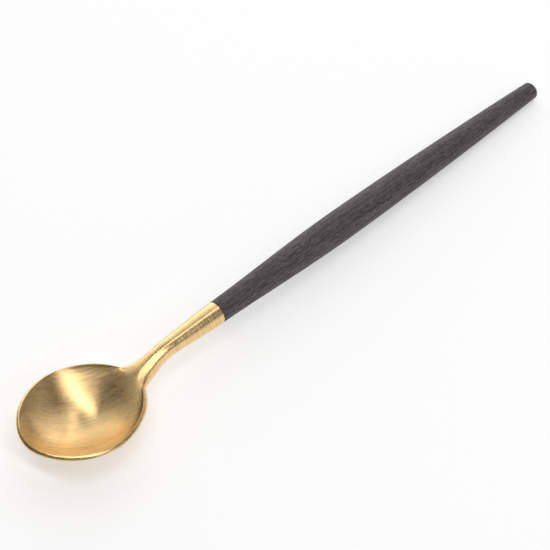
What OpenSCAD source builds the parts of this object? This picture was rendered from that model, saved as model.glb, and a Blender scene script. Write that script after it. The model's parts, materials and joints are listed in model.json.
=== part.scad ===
// Table spoon: a satin gold-coloured metal bowl and neck on a slender turned dark wood handle.
// Millimetres, +Z up. The spoon lies on a table with its bowl at -X and its handle tip at +X.
// The origin is the middle of the spoon's footprint box, on the table.
// The bowl, the neck and the handle are drawn along the handle's own axis, with X = 0 at the seam
// between metal and wood. at_rest() then leans the whole spoon until the bowl and the tip both touch down.

/* [Handle] */
// Wooden handle, from the seam to the blunt tip
handle_len = 140; // [110:1:160]
// Diameter of metal and wood at the seam
seam_dia = 7.1; // [6.4:0.1:8.4]
// Largest diameter of the handle
belly_dia = 9.8; // [8.6:0.1:11.5]
// Where the handle is thickest, as a share of its length
belly_share = 0.36; // [0.28:0.01:0.5]
// Diameter at the blunt tip
tip_dia = 5.7; // [4.6:0.1:6.8]
// Rounding of the tip's edge
tip_round = 0.8; // [0.4:0.1:1.4]
// Chamfer on both edges of the seam
seam_chamfer = 0.2; // [0.1:0.05:0.4]

/* [Bowl] */
// Distance from the seam back to the widest part of the bowl
bowl_back = 51.3; // [46:0.1:58]
// Half the width of the hollow at the rim
hollow_half_width = 15.9; // [14:0.1:18]
// From the widest part forward to the tip of the hollow
hollow_front = 18.4; // [16:0.1:22]
// From the widest part back to where the hollow would close
hollow_rear = 18.7; // [16:0.1:20]
// Roundness of the outline, where 2 is an ellipse
outline_power = 1.86; // [1.8:0.02:2.2]
// Depth of the hollow below its rim
hollow_depth = 8.6; // [6:0.1:10]
// Height of the rim at the widest part, above the handle's axis
rim_height = -0.4; // [-3:0.1:1]
// Rise of the rim towards the tip, in degrees from the handle's axis
rim_tilt = 3.4; // [0:0.1:8]
// How far the rim's face reaches outward
rim_out = 0.9; // [0.6:0.05:1.2]
// How far the rim's face falls, outer edge below inner edge
rim_fall = 0.9; // [0.6:0.05:1.2]
// Crowning of the rim's face
rim_crown = 0.15; // [0.05:0.05:0.25]
// Wall thickness at the bottom of the bowl
floor_thick = 1.5; // [1.2:0.1:2.2]

/* [Neck] */
// Diameter of the neck at its thinnest
neck_dia = 5.2; // [5:0.1:6.4]
// Distance from the seam back to the thinnest part
neck_thin_back = 23; // [18:0.5:26]
// Distance from the seam back to where the neck leaves the handle's axis
neck_bend_back = 18; // [12:0.5:20]
// Distance from the seam back to where the neck has come down to the rim
neck_foot_back = 30.5; // [28:0.5:38]
// Distance from the seam back to where the hollow has turned into the neck's round top
throat_top_back = 24; // [20:0.5:28]
// Distance from the seam back to where the underside has turned round
throat_under_back = 15.5; // [14:0.5:24]
// How much the neck's top widens where it meets the bowl
throat_flare = 1.4; // [0.5:0.1:3]
// How much its underside widens there
throat_under_flare = 2.6; // [1:0.1:3]
// Length over which that widening dies away
throat_flare_len = 2.7; // [1.5:0.1:4]
// Tightness of the inside corners between bowl and neck
throat_corner = 3.2; // [3:0.1:5]

/* [Tang] */
// Diameter of the steel rod that joins the head and the handle
tang_dia = 3; // [2.4:0.1:3.2]
// Length of the rod inside the neck
tang_in_neck = 13; // [9:0.5:14]
// Length of the rod inside the handle
tang_in_handle = 40; // [25:1:60]
// Thickness of the glue around the rod
glue_gap = 0.25; // [0.15:0.05:0.35]
// Depth of glue past the rod's end
glue_end = 2; // [1:0.5:4]

/* [Hidden] */
$fn = 96;
seam_r = seam_dia / 2;
belly_r = belly_dia / 2;
tip_r = tip_dia / 2;
neck_r = neck_dia / 2;
tang_r = tang_dia / 2;
bore_r = tang_r + glue_gap;
bore_depth = tang_in_handle + glue_end;
rod_chamfer = 0.3;
cut_over = 1;
// shape of the handle's two tapers
rise_power = 1.5;
fall_power = 1.65;
profile_steps = 24;
round_steps = 8;
// size of the head's mesh
front_steps = 14;
rear_steps = 54;
across_steps = 28;
// half the angle that the side strip takes of the round neck
side_angle = 5;
bowl_x = -bowl_back;
rim_slope = -tan(rim_tilt);
rim_step = sqrt(rim_out * rim_out + rim_fall * rim_fall);
underside_drop = hollow_depth + floor_thick - rim_fall;
// the rim's face starts to narrow here and is gone by the neck
rim_fade_start = 1.07 * hollow_rear;
rim_fade_len = 0.62 * hollow_rear;
// the underside's section is fully round this far behind the widest part
under_round = 1.13 * hollow_rear;
last_step = front_steps + rear_steps + 1;
gold = [0.80, 0.62, 0.35];
steel = [0.72, 0.72, 0.70];
dark_wood = [0.17, 0.15, 0.15];
amber = [0.75, 0.65, 0.40];

function clamp01(t) = min(max(t, 0), 1);
function ease(t) = let (c = clamp01(t)) c * c * (3 - 2 * c);
function soft_ease(t) = let (c = clamp01(t)) c * c * c * (c * (6 * c - 15) + 10);
function mix(a, b, t) = a + (b - a) * t;

// handle radius at distance x from the seam
function rise(x) = pow(sin(90 * clamp01(x / (belly_share * handle_len))), rise_power);
function fall(x) = pow(clamp01((x / handle_len - belly_share) / (1 - belly_share)), fall_power);
function handle_r(x) = x < belly_share * handle_len
    ? mix(seam_r, belly_r, rise(x))
    : mix(belly_r, tip_r, fall(x));

// outline of the handle as [distance along the axis, radius]
function handle_profile() = concat(
    [[0, seam_r - seam_chamfer], [seam_chamfer, handle_r(seam_chamfer)]],
    [for (i = [1 : profile_steps - 1]) let (x = (handle_len - tip_round) * i / profile_steps)
        [x, handle_r(x)]],
    [for (i = [0 : round_steps]) let (a = 90 * i / round_steps)
        [handle_len - tip_round + tip_round * sin(a), tip_r - tip_round + tip_round * cos(a)]]);

// places across a section, from -Y to +Y
function across(j) = -cos(side_angle + (180 - 2 * side_angle) * j / across_steps);

// radius of the round neck, and the small chamfer at the seam
function bar_r(x) = mix(seam_r, neck_r, ease(-x / neck_thin_back)) - max(x + seam_chamfer, 0);

// share of the bowl's rim face that is left at x
function rim_share(x) = 1 - soft_ease((x - bowl_x - rim_fade_start) / rim_fade_len);

// half width of the spoon behind the bowl's widest part, for its top and for its underside. The
// bowl's outline, `more` outside the hollow's, and the neck's outline join in a soft inside corner
function closing(x, more) = (hollow_half_width + more)
    * pow(1 - pow(clamp01((x - bowl_x) / (hollow_rear + more)), outline_power), 1 / outline_power);
function flare(x, size) = 2 * size / (1 + exp((x - bowl_x - hollow_rear) / throat_flare_len));
function neck_half(x, size) = (bar_r(x) + flare(x, size)) * ease((x - bowl_x) / hollow_rear);
function joined(a, b) = pow(pow(a, throat_corner) + pow(b, throat_corner), 1 / throat_corner);
function top_half(x) = joined(closing(x, 0), neck_half(x, throat_flare));
function under_half(x) = joined(closing(x, rim_out), neck_half(x, throat_under_flare));

// height of the rim, which comes up to the handle's axis along the neck
function rim_line(x) = rim_height + rim_slope * (x - bowl_x);
function edge_z(x) = rim_line(x) * (1 - soft_ease((x + neck_foot_back) / (neck_foot_back - neck_bend_back)));

// how far the middle of each sheet stands above (+) or below (-) its edge
function top_turn(x) = ease((x - bowl_x) / (bowl_back - throat_top_back));
function under_turn(x) = ease((x - bowl_x) / (bowl_back - throat_under_back));
function top_crown(x) = mix(-hollow_depth, bar_r(x), top_turn(x));
function under_crown(x) = mix(-underside_drop, -bar_r(x), under_turn(x));
function bulge(v, power) = pow(max(1 - v * v, 0), power);

// sections behind the widest part
function rear_x(k) = k > rear_steps ? 0 : mix(bowl_x, -seam_chamfer, k / rear_steps);
function rear_top(k, v) = let (x = rear_x(k))
    [x, top_half(x) * v, edge_z(x) + top_crown(x) * bulge(v, 1 - top_turn(x) / 2)];
function rear_under(k, v) = let (x = rear_x(k), s = rim_share(x))
    [x, under_half(x) * v,
        edge_z(x) - rim_fall * s + under_crown(x) * bulge(v, 1 - ease((x - bowl_x) / under_round) / 2)];

// the front of the bowl, as a round plate of radius 1 stretched to size
function plate(u, v) = let (
    x = u * sqrt(1 - v * v / 2),
    y = v * sqrt(1 - u * u / 2),
    n = pow(pow(abs(x), outline_power) + pow(abs(y), outline_power), 1 / outline_power),
    k = norm([x, y]) / max(n, 0.000001))
    [x * k, y * k, 1 - x * x - y * y];
function front_u(i) = -cos(90 * i / front_steps);
function front_top(i, v) = let (p = plate(front_u(i), v), x = bowl_x + hollow_front * p.x)
    [x, hollow_half_width * p.y, rim_line(x) - hollow_depth * p.z];
function front_under(i, v) = let (p = plate(front_u(i), v), x = bowl_x + (hollow_front + rim_out) * p.x)
    [x, (hollow_half_width + rim_out) * p.y, rim_line(x) - rim_fall - underside_drop * p.z];

function top_point(i, j) = i < front_steps
    ? front_top(i, across(j))
    : rear_top(i - front_steps, across(j));
function under_point(i, j) = i < front_steps
    ? front_under(i, across(j))
    : rear_under(i - front_steps, across(j));

// middle line of the rim's face, crowned outward; on the neck it lies on the round bar
function crown_point(a, b, away) = (a + b) / 2
    + rim_crown / rim_step * [away.x * rim_fall, away.y * rim_fall, rim_out];
function side_point(i, side) = let (
    a = top_point(i, side * across_steps),
    b = under_point(i, side * across_steps),
    s = i < front_steps ? 1 : rim_share(a.x),
    away = i < front_steps ? flat_unit(b - a) : [0, 2 * side - 1, 0],
    on_bar = [a.x, (2 * side - 1) * max(top_half(a.x), under_half(a.x)), edge_z(a.x)])
    s < 1 ? mix(on_bar, crown_point(a, b, away), s) : crown_point(a, b, away);
function tip_point(j) = let (a = top_point(0, j), b = under_point(0, j)) crown_point(a, b, flat_unit(b - a));
function flat_unit(d) = [d.x, d.y, 0] / norm([d.x, d.y]);

// where each group of points starts
row = across_steps + 1;
sheet = row * (last_step + 1);
tip_start = 2 * sheet;
left_start = tip_start + row - 1;
right_start = left_start + last_step;
cap_centre = right_start + last_step + 1;
function t_at(i, j) = i * row + j;
function u_at(i, j) = sheet + i * row + j;
function l_at(i) = i == 0 ? tip_start : left_start + i;
function r_at(i) = i == 0 ? tip_start + across_steps : right_start + i;

head_points = concat(
    [for (i = [0 : last_step], j = [0 : across_steps]) top_point(i, j)],
    [for (i = [0 : last_step], j = [0 : across_steps]) under_point(i, j)],
    [for (j = [0 : across_steps]) tip_point(j)],
    [for (i = [1 : last_step]) side_point(i, 0)],
    [for (i = [1 : last_step]) side_point(i, 1)],
    [[0, 0, 0]]);

cap_ring = concat(
    [for (j = [0 : across_steps]) t_at(last_step, j)],
    [r_at(last_step)],
    [for (j = [across_steps : -1 : 0]) u_at(last_step, j)],
    [l_at(last_step)]);

function two(a, b, c, d) = [[a, b, c], [a, c, d]];
function flat_list(lists) = [for (one = lists, item = one) item];

head_faces = concat(
    flat_list([for (i = [0 : last_step - 1], j = [0 : across_steps - 1])
        two(t_at(i, j), t_at(i, j + 1), t_at(i + 1, j + 1), t_at(i + 1, j))]),
    flat_list([for (i = [0 : last_step - 1], j = [0 : across_steps - 1])
        two(u_at(i, j), u_at(i + 1, j), u_at(i + 1, j + 1), u_at(i, j + 1))]),
    flat_list([for (i = [0 : last_step - 1]) concat(
        two(t_at(i, 0), t_at(i + 1, 0), l_at(i + 1), l_at(i)),
        two(l_at(i), l_at(i + 1), u_at(i + 1, 0), u_at(i, 0)),
        two(t_at(i, across_steps), r_at(i), r_at(i + 1), t_at(i + 1, across_steps)),
        two(r_at(i), u_at(i, across_steps), u_at(i + 1, across_steps), r_at(i + 1)))]),
    flat_list([for (j = [0 : across_steps - 1]) concat(
        two(t_at(0, j), tip_start + j, tip_start + j + 1, t_at(0, j + 1)),
        two(tip_start + j, u_at(0, j), u_at(0, j + 1), tip_start + j + 1))]),
    [for (k = [0 : len(cap_ring) - 1]) [cap_ring[k], cap_ring[(k + 1) % len(cap_ring)], cap_centre]]);

// the lean that brings the bowl's underside and the handle to one level
profile = handle_profile();
underside = [for (i = [0 : last_step], j = [0 : across_steps]) let (p = under_point(i, j)) [p.x, p.z]];
function low_bowl(a) = min([for (p = underside) p[1] * cos(a) - p[0] * sin(a)]);
function low_grip(a) = min([for (p = profile) -p[0] * sin(a) - p[1] * cos(a)]);
function settle(a, turns) = turns == 0
    ? a
    : settle(a + atan((low_grip(a) - low_bowl(a)) / (handle_len + bowl_back)), turns - 1);
lean = settle(0, 12);
lift = -low_bowl(lean);
front_x = min([for (j = [0 : across_steps]) let (p = tip_point(j)) p.x * cos(lean) + p.z * sin(lean)]);
rear_end = max([for (p = profile) p[0] * cos(lean) + p[1] * sin(lean)]);
slide = -(front_x + rear_end) / 2;

module at_rest() {
    translate([slide, 0, lift])
        rotate([0, lean, 0])
            children();
}

// turns a shape drawn up the Z axis so that it runs along +X
module along_x() {
    rotate([0, 90, 0])
        children();
}

// bowl, rim and neck in one forging, with a blind socket in the collar for the rod
module spoon_head() {
    color(gold)
        at_rest()
            difference() {
                polyhedron(points = head_points, faces = head_faces, convexity = 6);
                translate([-tang_in_neck, 0, 0])
                    along_x()
                        cylinder(h = tang_in_neck + cut_over, r = tang_r);
            }
}

// plain steel rod, pressed into the neck and glued into the handle
module tang_rod() {
    color(steel)
        at_rest()
            translate([-tang_in_neck, 0, 0])
                along_x()
                    rotate_extrude()
                        polygon([
                            [0, 0],
                            [tang_r - rod_chamfer, 0],
                            [tang_r, rod_chamfer],
                            [tang_r, tang_in_neck + tang_in_handle - rod_chamfer],
                            [tang_r - rod_chamfer, tang_in_neck + tang_in_handle],
                            [0, tang_in_neck + tang_in_handle]]);
}

// cured glue that fills the handle's bore around and behind the rod
module glue_sleeve() {
    color(amber)
        at_rest()
            along_x()
                rotate_extrude()
                    polygon([
                        [tang_r, 0],
                        [bore_r, 0],
                        [bore_r, bore_depth],
                        [0, bore_depth],
                        [0, tang_in_handle],
                        [tang_r - rod_chamfer, tang_in_handle],
                        [tang_r, tang_in_handle - rod_chamfer]]);
}

// turned wooden handle with a blind bore from the seam
module handle_grip() {
    color(dark_wood)
        at_rest()
            along_x()
                rotate_extrude()
                    polygon(concat(
                        [[0, bore_depth], [bore_r, bore_depth], [bore_r, 0]],
                        [for (p = profile) [p[1], p[0]]],
                        [[0, handle_len]]));
}

spoon_head();
tang_rod();
glue_sleeve();
handle_grip();
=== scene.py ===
import json
import math

import bmesh
import bpy
from mathutils import Matrix, Vector


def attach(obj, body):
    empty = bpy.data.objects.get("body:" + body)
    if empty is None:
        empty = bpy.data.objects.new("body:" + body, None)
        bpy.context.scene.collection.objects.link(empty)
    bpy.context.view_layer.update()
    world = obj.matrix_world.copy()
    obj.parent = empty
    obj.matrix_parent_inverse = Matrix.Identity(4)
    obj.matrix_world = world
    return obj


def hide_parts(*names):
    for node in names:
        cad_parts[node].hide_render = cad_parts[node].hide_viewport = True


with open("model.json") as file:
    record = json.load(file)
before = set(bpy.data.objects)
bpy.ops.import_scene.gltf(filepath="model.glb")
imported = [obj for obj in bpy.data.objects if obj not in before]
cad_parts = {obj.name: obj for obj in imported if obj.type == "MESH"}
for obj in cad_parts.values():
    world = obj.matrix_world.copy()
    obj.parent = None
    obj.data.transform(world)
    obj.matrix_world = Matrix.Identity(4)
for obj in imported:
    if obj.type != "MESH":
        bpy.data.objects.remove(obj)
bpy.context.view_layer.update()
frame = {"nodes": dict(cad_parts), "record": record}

bl_info = {
    "name": "Table spoon",
    "version": (1, 0, 0),
    "blender": (4, 5, 0),
    "location": "View3D > Sidebar > Spoon",
    "description": "A gold-coloured table spoon with a turned dark wood handle, and its studio",
    "category": "Object",
}

MM = 0.001
X_AXIS = (1.0, 0.0, 0.0)
# faces that meet at more degrees than this keep a hard edge
HARD_EDGE = 35


def mount(name):
    """Place and direction of one of the record's mounts."""
    for one in frame["record"]["mounts"]:
        if one["name"] == name:
            return Vector(one["pos_m"]), Vector(one["axis"]).normalized()
    raise RuntimeError("the record has no mount called " + name)


TIP, ALONG = mount("handle_tip")
SLOT_COLOUR = {one["slot"]: tuple(one["base_color"][:3]) for one in frame["record"]["materials"]}


# ------------------------------------------------------------ sizes and colours


def length(name, description, millimetres):
    return bpy.props.FloatProperty(
        name=name, description=description, default=millimetres * MM, unit="LENGTH", subtype="DISTANCE"
    )


def ratio(name, description, value):
    return bpy.props.FloatProperty(name=name, description=description, default=value)


def angle(name, description, degrees):
    return bpy.props.FloatProperty(
        name=name, description=description, default=math.radians(degrees), subtype="ANGLE"
    )


def colour(name, description, value):
    return bpy.props.FloatVectorProperty(
        name=name, description=description, default=value, subtype="COLOR", size=3, min=0.0, max=1.0
    )


class HandleSizes(bpy.types.PropertyGroup):
    length: length("Length", "From the seam to the blunt tip", 140)
    seam_radius: length("Seam radius", "Radius of wood and metal at the seam", 3.55)
    belly_radius: length("Belly radius", "Largest radius", 4.9)
    belly_share: ratio("Belly place", "Where it is thickest, as a share of its length", 0.36)
    tip_radius: length("Tip radius", "Radius at the blunt tip", 2.85)
    tip_round: length("Tip rounding", "Rounding of the tip's edge", 0.8)
    chamfer: length("Seam chamfer", "Chamfer on both edges of the seam", 0.2)
    bore_radius: length("Bore radius", "Radius of the blind bore for the rod and its glue", 1.75)
    bore_depth: length("Bore depth", "Depth of that bore", 42)


class HeadSizes(bpy.types.PropertyGroup):
    bowl_back: length("Bowl place", "From the seam back to the bowl's widest part", 51.3)
    half_width: length("Half width", "Half the width of the hollow at the rim", 15.9)
    front: length("Front", "From the widest part forward to the tip of the hollow", 18.4)
    rear: length("Rear", "From the widest part back to where the hollow would close", 18.7)
    roundness: ratio("Roundness", "Roundness of the outline, where 2 is an ellipse", 1.86)
    depth: length("Depth", "Depth of the hollow below its rim", 8.6)
    rim_height: length("Rim height", "Rim at the widest part, above the handle's axis", -0.4)
    rim_tilt: angle("Rim tilt", "Rise of the rim towards the tip", 3.4)
    rim_out: length("Rim reach", "How far the rim's face reaches outward", 0.9)
    rim_fall: length("Rim fall", "How far the rim's face falls", 0.9)
    rim_crown: length("Rim crown", "Crowning of the rim's face", 0.15)
    floor_thick: length("Floor", "Wall thickness at the bottom of the bowl", 1.5)
    neck_radius: length("Neck radius", "Radius of the neck at its thinnest", 2.6)
    thin_back: length("Thinnest part", "From the seam back to the thinnest part", 23)
    bend_back: length("Bend", "From the seam back to where the neck leaves the axis", 18)
    foot_back: length("Foot", "From the seam back to where the neck is down at the rim", 30.5)
    top_back: length("Throat top", "From the seam back to where the hollow has turned round", 24)
    under_back: length("Throat under", "From the seam back to where the underside is round", 15.5)
    flare: length("Flare", "Widening of the neck's top where it meets the bowl", 1.4)
    under_flare: length("Under flare", "Widening of its underside there", 2.6)
    flare_length: length("Flare length", "Length over which that widening dies away", 2.7)
    corner: ratio("Corner", "Tightness of the inside corners between bowl and neck", 3.2)
    socket_radius: length("Socket radius", "Radius of the socket for the rod", 1.5)
    socket_depth: length("Socket depth", "Depth of that socket", 13)


class Finishes(bpy.types.PropertyGroup):
    gold: colour("Gold", "Colour of the gold-coloured metal", (0.90, 0.64, 0.31))
    wood: colour("Wood", "Colour of the stained wood", (0.092, 0.078, 0.082))
    steel: colour("Steel", "Colour of the rod", SLOT_COLOUR["tang_steel"])
    glue: colour("Glue", "Colour of the cured glue", SLOT_COLOUR["glue"])
    brush_turn: angle("Brush lines", "Turn of the bowl's brush lines from the length of the spoon", -27)


class StudioSizes(bpy.types.PropertyGroup):
    azimuth: angle("Azimuth", "Camera azimuth, 0 looking along +Y", -44.47)
    elevation: angle("Elevation", "Camera elevation above the table", 49.34)
    roll: angle("Roll", "Camera roll", -0.12)
    distance: length("Distance", "From the camera to the middle of the spoon", 561.2)
    lens: ratio("Lens", "Focal length in millimetres on a 36 mm sensor", 121.7)
    shift_x: ratio("Shift X", "Sideways shift of the frame", -0.0596)
    shift_y: ratio("Shift Y", "Upward shift of the frame", -0.0371)
    floor_size: length("Floor", "Side of the square floor", 6000)
    floor: colour("Floor colour", "Colour of the floor", (0.70, 0.70, 0.70))
    floor_glow: ratio("Floor glow", "Light that the floor gives off by itself", 0.62)
    haze: ratio("Haze", "Light from all round", 0.06)


GROUPS = {
    "spoon_handle": HandleSizes,
    "spoon_head": HeadSizes,
    "spoon_finishes": Finishes,
    "spoon_studio": StudioSizes,
}


# ------------------------------------------------------------ small helpers


def clamp01(t):
    return min(max(t, 0.0), 1.0)


def mix(a, b, t):
    return a + (b - a) * t


def ease(t):
    t = clamp01(t)
    return t * t * (3 - 2 * t)


def soft_ease(t):
    t = clamp01(t)
    return t * t * t * (t * (6 * t - 15) + 10)


def at_rest():
    """Puts a shape drawn along +X, with the seam at 0, onto the spoon's own axis on the table."""
    across = Vector((0, 1, 0))
    turn = Matrix((ALONG, across, ALONG.cross(across))).transposed().to_4x4()
    return Matrix.Translation(TIP - ALONG * bpy.context.scene.spoon_handle.length) @ turn


def shade(bm, hard):
    """Smooth faces, with a hard edge wherever two faces meet at more than that angle in degrees."""
    for face in bm.faces:
        face.smooth = True
    for edge in bm.edges:
        edge.smooth = edge.calc_face_angle(math.pi) < math.radians(hard)


def finished(bm, name, material, node):
    """Moves the shape to its place and makes it the piece that stands for a CAD node."""
    bmesh.ops.transform(bm, matrix=at_rest(), verts=bm.verts)
    shade(bm, HARD_EDGE)
    mesh = bpy.data.meshes.new(name)
    bm.to_mesh(mesh)
    bm.free()
    mesh.materials.append(material)
    piece = bpy.data.objects.new(name, mesh)
    bpy.context.scene.collection.objects.link(piece)
    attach(piece, "root")
    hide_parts(node)
    return piece


# ------------------------------------------------------------ turned handle


RISE_POWER, FALL_POWER = 1.5, 1.65
HANDLE_RINGS, HANDLE_STEPS = 72, 96


def handle_radius(x, s):
    """The handle swells from the seam to its belly and tapers to its tip."""
    belly = s.belly_share * s.length
    if x < belly:
        return mix(s.seam_radius, s.belly_radius, math.sin(math.pi / 2 * x / belly) ** RISE_POWER)
    return mix(s.belly_radius, s.tip_radius, ((x - belly) / (s.length - belly)) ** FALL_POWER)


def traced(bm, points):
    """A line through the points, drawn by pulling its last vertex on."""
    last = bmesh.ops.create_vert(bm, co=points[0])["vert"][0]
    for point in points[1:]:
        last = bmesh.ops.extrude_vert_indiv(bm, verts=[last])["verts"][0]
        last.co = point


def turned(bm, steps):
    """Spins everything in the bmesh round the X axis into one closed, outward-facing skin."""
    bmesh.ops.spin(
        bm,
        geom=bm.verts[:] + bm.edges[:],
        cent=(0, 0, 0),
        axis=X_AXIS,
        angle=2 * math.pi,
        steps=steps,
        use_merge=True,
    )
    bmesh.ops.remove_doubles(bm, verts=bm.verts, dist=0.001 * MM)
    bmesh.ops.recalc_face_normals(bm, faces=bm.faces)


def ring_edges(bm, x, radius):
    """Edges of the ring with that place and radius on the X axis."""

    def on_ring(vert):
        return abs(vert.co.x - x) < 0.01 * MM and abs(vert.co.yz.length - radius) < 0.01 * MM

    return [edge for edge in bm.edges if all(on_ring(vert) for vert in edge.verts)]


def rounded(bm, edges, width, segments):
    bmesh.ops.bevel(
        bm, geom=edges, offset=width, segments=segments, profile=0.5, affect="EDGES", material=-1
    )


def handle_mesh(s):
    bm = bmesh.new()
    inside = [(s.bore_depth, 0), (s.bore_depth, s.bore_radius), (0, s.bore_radius)]
    places = [s.length * i / HANDLE_RINGS for i in range(HANDLE_RINGS + 1)]
    outside = [(x, handle_radius(x, s)) for x in places]
    traced(bm, [(x, 0, r) for x, r in inside + outside + [(s.length, 0)]])
    turned(bm, HANDLE_STEPS)
    rounded(bm, ring_edges(bm, 0, s.seam_radius), s.chamfer, 1)
    rounded(bm, ring_edges(bm, s.length, s.tip_radius), s.tip_round, 8)
    return bm


# ------------------------------------------------------------ bowl, rim and neck


class HeadShape:
    """Upper and lower sheet of bowl and neck, and the rim's face between them, from the seam at X = 0."""

    front_rows, rear_rows = 40, 150
    columns, rim_rows = 72, 6
    side_angle = math.radians(5)
    # as shares of the hollow's length behind its widest part: where the rim's face starts to narrow,
    # the length over which it is gone, and the length over which the underside turns round
    fade_start, fade_length, round_length = 1.07, 0.62, 1.13

    def __init__(self, head, handle):
        self.s = head
        self.seam_radius, self.chamfer = handle.seam_radius, handle.chamfer
        self.bowl_x = -head.bowl_back
        self.drop = head.depth + head.floor_thick - head.rim_fall
        self.rows = self.front_rows + self.rear_rows + 1

    def bar_radius(self, x):
        thin = mix(self.seam_radius, self.s.neck_radius, ease(-x / self.s.thin_back))
        return thin - max(x + self.chamfer, 0)

    def rim_share(self, x):
        """Share of the rim's face that is left at x; it narrows behind the bowl and is gone by the neck."""
        return 1 - soft_ease(((x - self.bowl_x) / self.s.rear - self.fade_start) / self.fade_length)

    def half_width(self, x, under):
        """The bowl's outline and the neck's, joined by a soft inside corner."""
        s = self.s
        more, widening = (s.rim_out, s.under_flare) if under else (0.0, s.flare)
        back = x - self.bowl_x
        closing = clamp01(back / (s.rear + more)) ** s.roundness
        bowl = (s.half_width + more) * (1 - closing) ** (1 / s.roundness)
        flare = 2 * widening / (1 + math.exp((back - s.rear) / s.flare_length))
        neck = (self.bar_radius(x) + flare) * ease(back / s.rear)
        return (bowl**s.corner + neck**s.corner) ** (1 / s.corner)

    def rim_line(self, x):
        return self.s.rim_height - math.tan(self.s.rim_tilt) * (x - self.bowl_x)

    def edge_z(self, x):
        """Height of the rim, which comes up to the handle's axis along the neck."""
        s = self.s
        return self.rim_line(x) * (1 - soft_ease((x + s.foot_back) / (s.foot_back - s.bend_back)))

    def rear_point(self, x, v, under):
        s = self.s
        back = x - self.bowl_x
        y = self.half_width(x, under) * v
        if under:
            turn = ease(back / (s.bowl_back - s.under_back))
            full = ease(back / (self.round_length * s.rear))
            edge = self.edge_z(x) - s.rim_fall * self.rim_share(x)
            crown = mix(-self.drop, -self.bar_radius(x), turn)
        else:
            turn = full = ease(back / (s.bowl_back - s.top_back))
            edge = self.edge_z(x)
            crown = mix(-s.depth, self.bar_radius(x), turn)
        return Vector((x, y, edge + crown * max(1 - v * v, 0) ** (1 - full / 2)))

    def front_point(self, u, v, under):
        """The front of the bowl, as a round plate stretched to size."""
        s = self.s
        x, y = u * math.sqrt(1 - v * v / 2), v * math.sqrt(1 - u * u / 2)
        flat = (abs(x) ** s.roundness + abs(y) ** s.roundness) ** (1 / s.roundness)
        reach = math.hypot(x, y) / max(flat, 1e-6)
        bulge = 1 - x * x - y * y
        more = s.rim_out if under else 0
        place = self.bowl_x + (s.front + more) * x * reach
        fall = s.rim_fall + self.drop * bulge if under else s.depth * bulge
        return Vector((place, (s.half_width + more) * y * reach, self.rim_line(place) - fall))

    def sheet_point(self, row, across, under):
        v = -math.cos(mix(self.side_angle, math.pi - self.side_angle, across))
        if row <= self.front_rows:
            return self.front_point(-math.cos(math.pi / 2 * row / self.front_rows), v, under)
        back = (row - self.front_rows) / self.rear_rows
        return self.rear_point(mix(self.bowl_x, -self.chamfer, back) if back <= 1 else 0.0, v, under)

    def rim_point(self, top, low, side, share):
        """A point of the crowned face between the two sheets, which lies on the round bar at the neck."""
        s = self.s
        flat = Vector((low.x - top.x, low.y - top.y, 0))
        out = flat.normalized() if flat.length > 1e-4 * MM else Vector((0, side, 0))
        crown = 4 * share * (1 - share) * s.rim_crown / math.hypot(s.rim_out, s.rim_fall)
        face = top.lerp(low, share) + (out * s.rim_fall + Vector((0, 0, s.rim_out))) * crown
        left = self.rim_share(top.x)
        if left >= 1:
            return face
        turn = mix(self.side_angle, -self.side_angle, share)
        reach = mix(abs(top.y), abs(low.y), share) / math.cos(self.side_angle)
        bar = Vector((top.x, side * reach * math.cos(turn), mix(top.z, low.z, share)))
        return bar.lerp(face, left)

    def point(self, along, across, down):
        """Place of a point of the block: along from tip to seam, across from side to side, down the rim."""
        row = round(along * self.rows)
        if down < 1e-6 or down > 1 - 1e-6:
            return self.sheet_point(row, across, down > 0.5)
        top, low = self.sheet_point(row, across, False), self.sheet_point(row, across, True)
        return self.rim_point(top, low, 1 if across > 0.5 else -1, down)


def cut_along(bm, axis, pieces):
    """Cuts every edge that runs along one axis into that many pieces."""
    other = [i for i in range(3) if i != axis]
    edges = [e for e in bm.edges if all(abs(e.verts[0].co[i] - e.verts[1].co[i]) < 1e-6 for i in other)]
    bmesh.ops.subdivide_edges(bm, edges=edges, cuts=pieces - 1, use_grid_fill=True)


def head_mesh(shape):
    """A block cut into a fine grid and drawn out to the head's shape, with the rod's socket in its end."""
    s = shape.s
    bm = bmesh.new()
    bmesh.ops.create_cube(bm, size=1)
    for axis, pieces in enumerate((shape.rows, shape.columns, shape.rim_rows)):
        cut_along(bm, axis, pieces)
    end = [face for face in bm.faces if all(vert.co.x > 0.5 - 1e-6 for vert in face.verts)]
    bmesh.ops.delete(bm, geom=end, context="FACES")
    for vert in bm.verts:
        along, across, up = vert.co + Vector((0.5, 0.5, 0.5))
        vert.co = shape.point(along, across, 1 - up)
    collar = [edge for edge in bm.edges if edge.is_boundary]
    for radius, depth in ((s.socket_radius, 0), (s.socket_radius, -s.socket_depth)):
        made = bmesh.ops.extrude_edge_only(bm, edges=collar)["geom"]
        collar = [item for item in made if isinstance(item, bmesh.types.BMEdge) and item.is_boundary]
        for vert in {vert for edge in collar for vert in edge.verts}:
            vert.co = Vector((depth, *(vert.co.yz.normalized() * radius)))
    bmesh.ops.contextual_create(bm, geom=collar)
    bmesh.ops.recalc_face_normals(bm, faces=bm.faces)
    return bm


# ------------------------------------------------------------ material helpers


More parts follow.
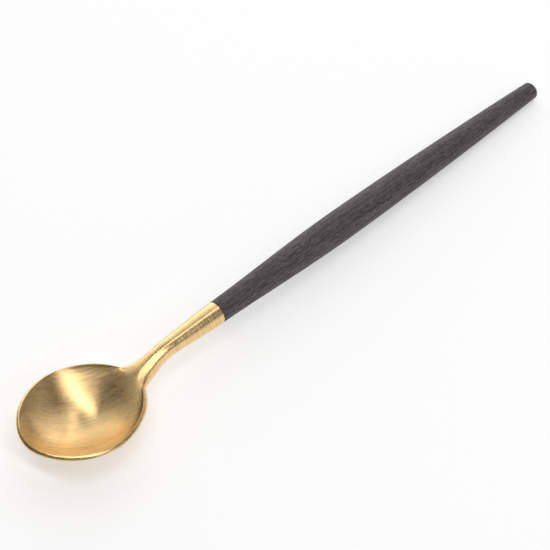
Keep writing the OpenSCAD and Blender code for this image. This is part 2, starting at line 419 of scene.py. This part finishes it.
class Finish:
    """One procedural material, and short ways to add its nodes."""

    def __init__(self, name, metallic=0.0):
        self.material = bpy.data.materials.new(name)
        self.material.use_nodes = True
        self.nodes = self.material.node_tree.nodes
        self.nodes.clear()
        output = self.nodes.new("ShaderNodeOutputMaterial")
        self.shader = self.nodes.new("ShaderNodeBsdfPrincipled")
        self.link(self.shader.outputs[0], output.inputs["Surface"])
        self.set("Metallic", metallic)
        self.place = self.nodes.new("ShaderNodeTexCoord").outputs["Object"]

    def link(self, a, b):
        self.material.node_tree.links.new(a, b)

    def put(self, socket, value):
        if isinstance(value, bpy.types.NodeSocket):
            self.link(value, socket)
        else:
            socket.default_value = value

    def set(self, name, value):
        self.put(self.shader.inputs[name], value)

    def grain(self, size, turn=(0, 0, 0), detail=4.0, roughness=0.55, distortion=0.0):
        """Noise whose spots have that size along the turned axes, in metres."""
        mapping = self.nodes.new("ShaderNodeMapping")
        mapping.vector_type = "TEXTURE"
        self.link(self.place, mapping.inputs["Vector"])
        mapping.inputs["Rotation"].default_value = turn
        mapping.inputs["Scale"].default_value = size
        noise = self.nodes.new("ShaderNodeTexNoise")
        self.link(mapping.outputs[0], noise.inputs["Vector"])
        for name, value in (
            ("Scale", 1.0),
            ("Detail", detail),
            ("Roughness", roughness),
            ("Distortion", distortion),
        ):
            noise.inputs[name].default_value = value
        return noise.outputs["Fac"]

    def ramp(self, value, low, high, to_low=0.0, to_high=1.0):
        node = self.nodes.new("ShaderNodeMapRange")
        node.interpolation_type = "SMOOTHSTEP"
        for name, number in (
            ("Value", value),
            ("From Min", low),
            ("From Max", high),
            ("To Min", to_low),
            ("To Max", to_high),
        ):
            self.put(node.inputs[name], number)
        return node.outputs["Result"]

    def sum(self, *terms):
        """Weighted sum of (weight, value) terms."""
        total = 0.0
        for weight, value in terms:
            node = self.nodes.new("ShaderNodeMath")
            node.operation = "MULTIPLY_ADD"
            for socket, number in zip(node.inputs, (value, weight, total)):
                self.put(socket, number)
            total = node.outputs[0]
        return total

    def blend(self, share, a, b, kind="RGBA"):
        node = self.nodes.new("ShaderNodeMix")
        node.data_type = kind
        for socket, value in zip([s for s in node.inputs if s.enabled], (share, a, b)):
            self.put(socket, value)
        return [s for s in node.outputs if s.enabled][0]

    def bump(self, height, depth, strength=1.0):
        node = self.nodes.new("ShaderNodeBump")
        node.inputs["Strength"].default_value = strength
        node.inputs["Distance"].default_value = depth
        self.link(height, node.inputs["Height"])
        self.set("Normal", node.outputs[0])


def handle_lean():
    """Turn that lays a pattern's own X along the handle."""
    return (0, math.asin(-ALONG.z), 0)


def tone(base, factor):
    """Paler or deeper shade of a colour, with alpha."""
    return tuple(min(part * factor, 1.0) for part in base) + (1.0,)


# ------------------------------------------------------------ finishes


# back from the seam, where the bowl's straight brush lines start to turn into rings and where they have
RINGS_START, RINGS_FULL = 34 * MM, 25 * MM


def brushed_gold(base, brush_turn):
    """Satin gold-coloured metal: straight brush lines in the bowl, rings round the neck."""
    f = Finish("satin_gold", metallic=1.0)
    seam = at_rest().translation.x
    split = f.nodes.new("ShaderNodeSeparateXYZ")
    f.link(f.place, split.inputs[0])
    neck = f.ramp(split.outputs["X"], seam - RINGS_START, seam - RINGS_FULL)
    lie = (0, 0, brush_turn)
    lean = handle_lean()

    fine = f.blend(
        neck,
        f.grain((7 * MM, 0.22 * MM, 0.5 * MM), lie, detail=3),
        f.grain((0.14 * MM, 5 * MM, 5 * MM), lean, detail=2),
        "FLOAT",
    )
    wide = f.blend(
        neck,
        f.grain((16 * MM, 0.7 * MM, 1.6 * MM), lie, detail=3),
        f.grain((0.4 * MM, 9 * MM, 9 * MM), lean, detail=2),
        "FLOAT",
    )
    cloud = f.grain((12 * MM, 12 * MM, 12 * MM), detail=3)
    lines = f.sum((0.55, fine), (0.45, wide))

    pale, deep = tone(base, 1.10), tone(base, 0.76)
    warm = tone((base[0], base[1] * 0.96, base[2] * 0.88), 1.0)
    bare = f.blend(f.ramp(lines, 0.36, 0.64), deep, pale)
    f.set("Base Color", f.blend(f.ramp(cloud, 0.35, 0.7, 0.0, 0.35), bare, warm))
    f.set("Roughness", f.sum((1.0, f.ramp(lines, 0.35, 0.65, 0.25, 0.33)), (0.06, cloud), (-0.03, neck)))
    f.set("Anisotropic", 0.65)
    side = (-math.sin(brush_turn), math.cos(brush_turn), 0.0)
    f.set("Tangent", f.blend(neck, side, tuple(ALONG), "VECTOR"))
    f.bump(f.blend(neck, lines, f.sum((0.35, lines)), "FLOAT"), 0.008 * MM, 0.6)
    return f.material


def charcoal_wood(base):
    """Charcoal-stained wood with fine grain along the handle and short open pores."""
    f = Finish("charcoal_wood")
    lean = handle_lean()
    grain = f.grain((14 * MM, 0.28 * MM, 0.28 * MM), lean, detail=5, roughness=0.6, distortion=0.15)
    wide = f.grain((40 * MM, 1.3 * MM, 1.3 * MM), lean, detail=4, distortion=0.25)
    cloud = f.grain((22 * MM, 9 * MM, 9 * MM), lean, detail=3)
    speck = f.grain((1.6 * MM, 0.3 * MM, 0.3 * MM), lean, detail=3, roughness=0.65)
    pores = f.ramp(f.grain((2.6 * MM, 0.3 * MM, 0.3 * MM), lean, detail=2), 0.58, 0.68)
    # painted glints: short pale specks blended into the wood's colour stand in for small glints of light
    glints = f.ramp(f.grain((1.6 * MM, 0.32 * MM, 0.32 * MM), lean, detail=2), 0.62, 0.72)

    streaks = f.sum((0.5, grain), (0.5, speck))
    colour_now = f.blend(f.ramp(streaks, 0.40, 0.60), tone(base, 0.3), tone(base, 1.4))
    colour_now = f.blend(f.ramp(wide, 0.4, 0.72, 0.0, 0.4), colour_now, tone(base, 1.5))
    colour_now = f.blend(f.ramp(cloud, 0.35, 0.75, 0.0, 0.45), colour_now, tone(base, 0.7))
    colour_now = f.blend(f.sum((0.6, pores)), colour_now, tone(base, 0.2))
    # painted glints: the pale specks are mixed into the colour here
    colour_now = f.blend(f.sum((0.45, glints)), colour_now, (0.28, 0.25, 0.26, 1.0))
    f.set("Base Color", colour_now)
    f.set("Roughness", f.ramp(grain, 0.3, 0.7, 0.64, 0.52))
    f.set("Specular IOR Level", 0.4)
    f.bump(f.sum((0.5, grain), (0.5, wide), (-0.8, pores)), 0.05 * MM, 0.6)
    return f.material


def drawn_steel(base):
    """Plain drawn rod with fine lines along it."""
    f = Finish("drawn_steel", metallic=1.0)
    lines = f.grain((20 * MM, 0.08 * MM, 0.08 * MM), handle_lean())
    f.set("Base Color", f.blend(f.ramp(lines, 0.3, 0.7), tone(base, 0.8), tone(base, 1.05)))
    f.set("Roughness", f.ramp(lines, 0.3, 0.7, 0.28, 0.42))
    f.bump(lines, 0.004 * MM, 0.5)
    return f.material


def cured_glue(base):
    """Cured amber glue with faint clouding."""
    f = Finish("cured_glue")
    cloud = f.grain((1.2 * MM, 1.2 * MM, 1.2 * MM))
    f.set("Base Color", f.blend(f.ramp(cloud, 0.3, 0.7), tone(base, 0.8), tone(base, 1.1)))
    f.set("Roughness", f.ramp(cloud, 0.3, 0.7, 0.35, 0.5))
    f.bump(cloud, 0.03 * MM, 0.5)
    return f.material


def pale_floor(base, glow):
    """Plain pale matt floor, lit a little from below like a light table."""
    f = Finish("pale_floor")
    tooth = f.grain((3 * MM, 3 * MM, 3 * MM), detail=2)
    f.set("Base Color", f.blend(tooth, tone(base, 0.995), tone(base, 1.005)))
    f.set("Roughness", 0.9)
    f.set("Specular IOR Level", 0.1)
    f.set("Emission Color", tone(base, 1.0))
    f.set("Emission Strength", glow)
    return f.material


# ------------------------------------------------------------ studio


def heading(azimuth, elevation):
    """Direction at that angle round from +X and that height above the table, in degrees."""
    a, e = math.radians(azimuth), math.radians(elevation)
    return Vector((math.cos(a) * math.cos(e), math.sin(a) * math.cos(e), math.sin(e)))


def softbox(name, azimuth, elevation, distance, size, radiance, roll=0.0):
    """A rectangular soft light that faces the spoon."""
    light = bpy.data.lights.new(name, "AREA")
    light.shape = "RECTANGLE"
    light.size, light.size_y = size
    light.energy = radiance * math.pi * size[0] * size[1]
    lamp = bpy.data.objects.new(name, light)
    bpy.context.scene.collection.objects.link(lamp)
    way = heading(azimuth, elevation)
    lamp.location = way * distance
    turn = way.to_track_quat("Z", "Y").to_matrix() @ Matrix.Rotation(math.radians(roll), 3, "Z")
    lamp.rotation_euler = turn.to_euler()
    lamp.visible_camera = False


SOFTBOXES = (
    # name, azimuth, elevation, distance, (width, height), radiance, roll
    ("strip_light", -110, 68, 1.3, (0.17, 2.2), 7.5, 34),
    ("low_wall", 56, 14, 1.6, (2.5, 0.8), 1.75),
    ("high_wall", 68, 44, 1.6, (2.2, 1.0), 1.0),
    ("crown_light", -12, 72, 1.4, (0.22, 0.5), 2.6),
    ("right_light", 4, 38, 1.6, (1.0, 1.9), 0.85),
    ("front_light", -38, 24, 1.5, (0.8, 0.7), 0.22),
    ("near_light", -80, 10, 1.5, (0.9, 0.4), 0.9),
    ("left_light", -150, 8, 1.5, (1.9, 0.35), 0.9),
)


def add_floor(s):
    bm = bmesh.new()
    bmesh.ops.create_grid(bm, x_segments=1, y_segments=1, size=s.floor_size / 2)
    mesh = bpy.data.meshes.new("floor")
    bm.to_mesh(mesh)
    bm.free()
    mesh.materials.append(pale_floor(tuple(s.floor), s.floor_glow))
    floor = bpy.data.objects.new("floor", mesh)
    bpy.context.scene.collection.objects.link(floor)


# the point of the spoon that the camera is turned towards
LOOKED_AT = Vector((2.2 * MM, 0, 4.0 * MM))


def add_camera(s):
    side = Vector((math.cos(s.azimuth), math.sin(s.azimuth), 0))
    level = math.cos(s.elevation)
    back = Vector((math.sin(s.azimuth) * level, -math.cos(s.azimuth) * level, math.sin(s.elevation)))
    up = back.cross(side)
    right = side * math.cos(s.roll) + up * math.sin(s.roll)
    camera = bpy.data.cameras.new("camera")
    camera.lens = s.lens
    camera.sensor_width = 36
    camera.shift_x, camera.shift_y = s.shift_x, s.shift_y
    eye = bpy.data.objects.new("camera", camera)
    turn = Matrix((right, back.cross(right), back)).transposed().to_4x4()
    eye.matrix_world = Matrix.Translation(LOOKED_AT + back * s.distance) @ turn
    bpy.context.scene.collection.objects.link(eye)
    bpy.context.scene.camera = eye


def add_world(strength):
    world = bpy.data.worlds.new("studio")
    world.use_nodes = True
    background = world.node_tree.nodes["Background"]
    background.inputs["Color"].default_value = (1.0, 1.0, 1.0, 1.0)
    background.inputs["Strength"].default_value = strength
    bpy.context.scene.world = world


# ------------------------------------------------------------ operators and panel


class SPOON_OT_bowl_and_neck(bpy.types.Operator):
    """Makes the satin gold-coloured bowl and neck"""

    bl_idname = "spoon.bowl_and_neck"
    bl_label = "Bowl and neck"

    def execute(self, context):
        scene = context.scene
        shape = HeadShape(scene.spoon_head, scene.spoon_handle)
        finishes = scene.spoon_finishes
        gold = brushed_gold(tuple(finishes.gold), finishes.brush_turn)
        finished(head_mesh(shape), "bowl_and_neck", gold, "spoon_head")
        return {"FINISHED"}


class SPOON_OT_turned_handle(bpy.types.Operator):
    """Makes the turned wooden handle"""

    bl_idname = "spoon.turned_handle"
    bl_label = "Turned handle"

    def execute(self, context):
        scene = context.scene
        wood = charcoal_wood(tuple(scene.spoon_finishes.wood))
        finished(handle_mesh(scene.spoon_handle), "turned_handle", wood, "handle_grip")
        return {"FINISHED"}


class SPOON_OT_rod_and_glue(bpy.types.Operator):
    """Gives the hidden rod and the glue round it their materials"""

    bl_idname = "spoon.rod_and_glue"
    bl_label = "Rod and glue"

    def execute(self, context):
        finishes = context.scene.spoon_finishes
        made = {
            "tang_rod": drawn_steel(tuple(finishes.steel)),
            "glue_sleeve": cured_glue(tuple(finishes.glue)),
        }
        for node, material in made.items():
            inner = frame["nodes"][node]
            inner.data.materials.clear()
            inner.data.materials.append(material)
        return {"FINISHED"}


class SPOON_OT_studio(bpy.types.Operator):
    """Makes the floor, the soft lights and the camera"""

    bl_idname = "spoon.studio"
    bl_label = "Studio"

    def execute(self, context):
        s = context.scene.spoon_studio
        add_floor(s)
        add_world(s.haze)
        for box in SOFTBOXES:
            softbox(*box)
        add_camera(s)
        context.scene.view_settings.view_transform = "Standard"
        return {"FINISHED"}


OPERATORS = (SPOON_OT_bowl_and_neck, SPOON_OT_turned_handle, SPOON_OT_rod_and_glue, SPOON_OT_studio)


class SPOON_PT_panel(bpy.types.Panel):
    """Lists the pieces of the spoon, with their sizes and colours"""

    bl_label = "Table spoon"
    bl_space_type = "VIEW_3D"
    bl_region_type = "UI"
    bl_category = "Spoon"

    def draw(self, context):
        for operator in OPERATORS:
            self.layout.operator(operator.bl_idname)
        for group, kind in GROUPS.items():
            box = self.layout.box()
            for name in kind.__annotations__:
                box.prop(getattr(context.scene, group), name)


CLASSES = (*GROUPS.values(), *OPERATORS, SPOON_PT_panel)


def register():
    for one in CLASSES:
        bpy.utils.register_class(one)
    for group, kind in GROUPS.items():
        setattr(bpy.types.Scene, group, bpy.props.PointerProperty(type=kind))


def unregister():
    for group in GROUPS:
        delattr(bpy.types.Scene, group)
    for one in reversed(CLASSES):
        bpy.utils.unregister_class(one)


def main():
    register()
    bpy.ops.spoon.bowl_and_neck()
    bpy.ops.spoon.turned_handle()
    bpy.ops.spoon.rod_and_glue()
    bpy.ops.spoon.studio()


if __name__ == "__main__":
    main()
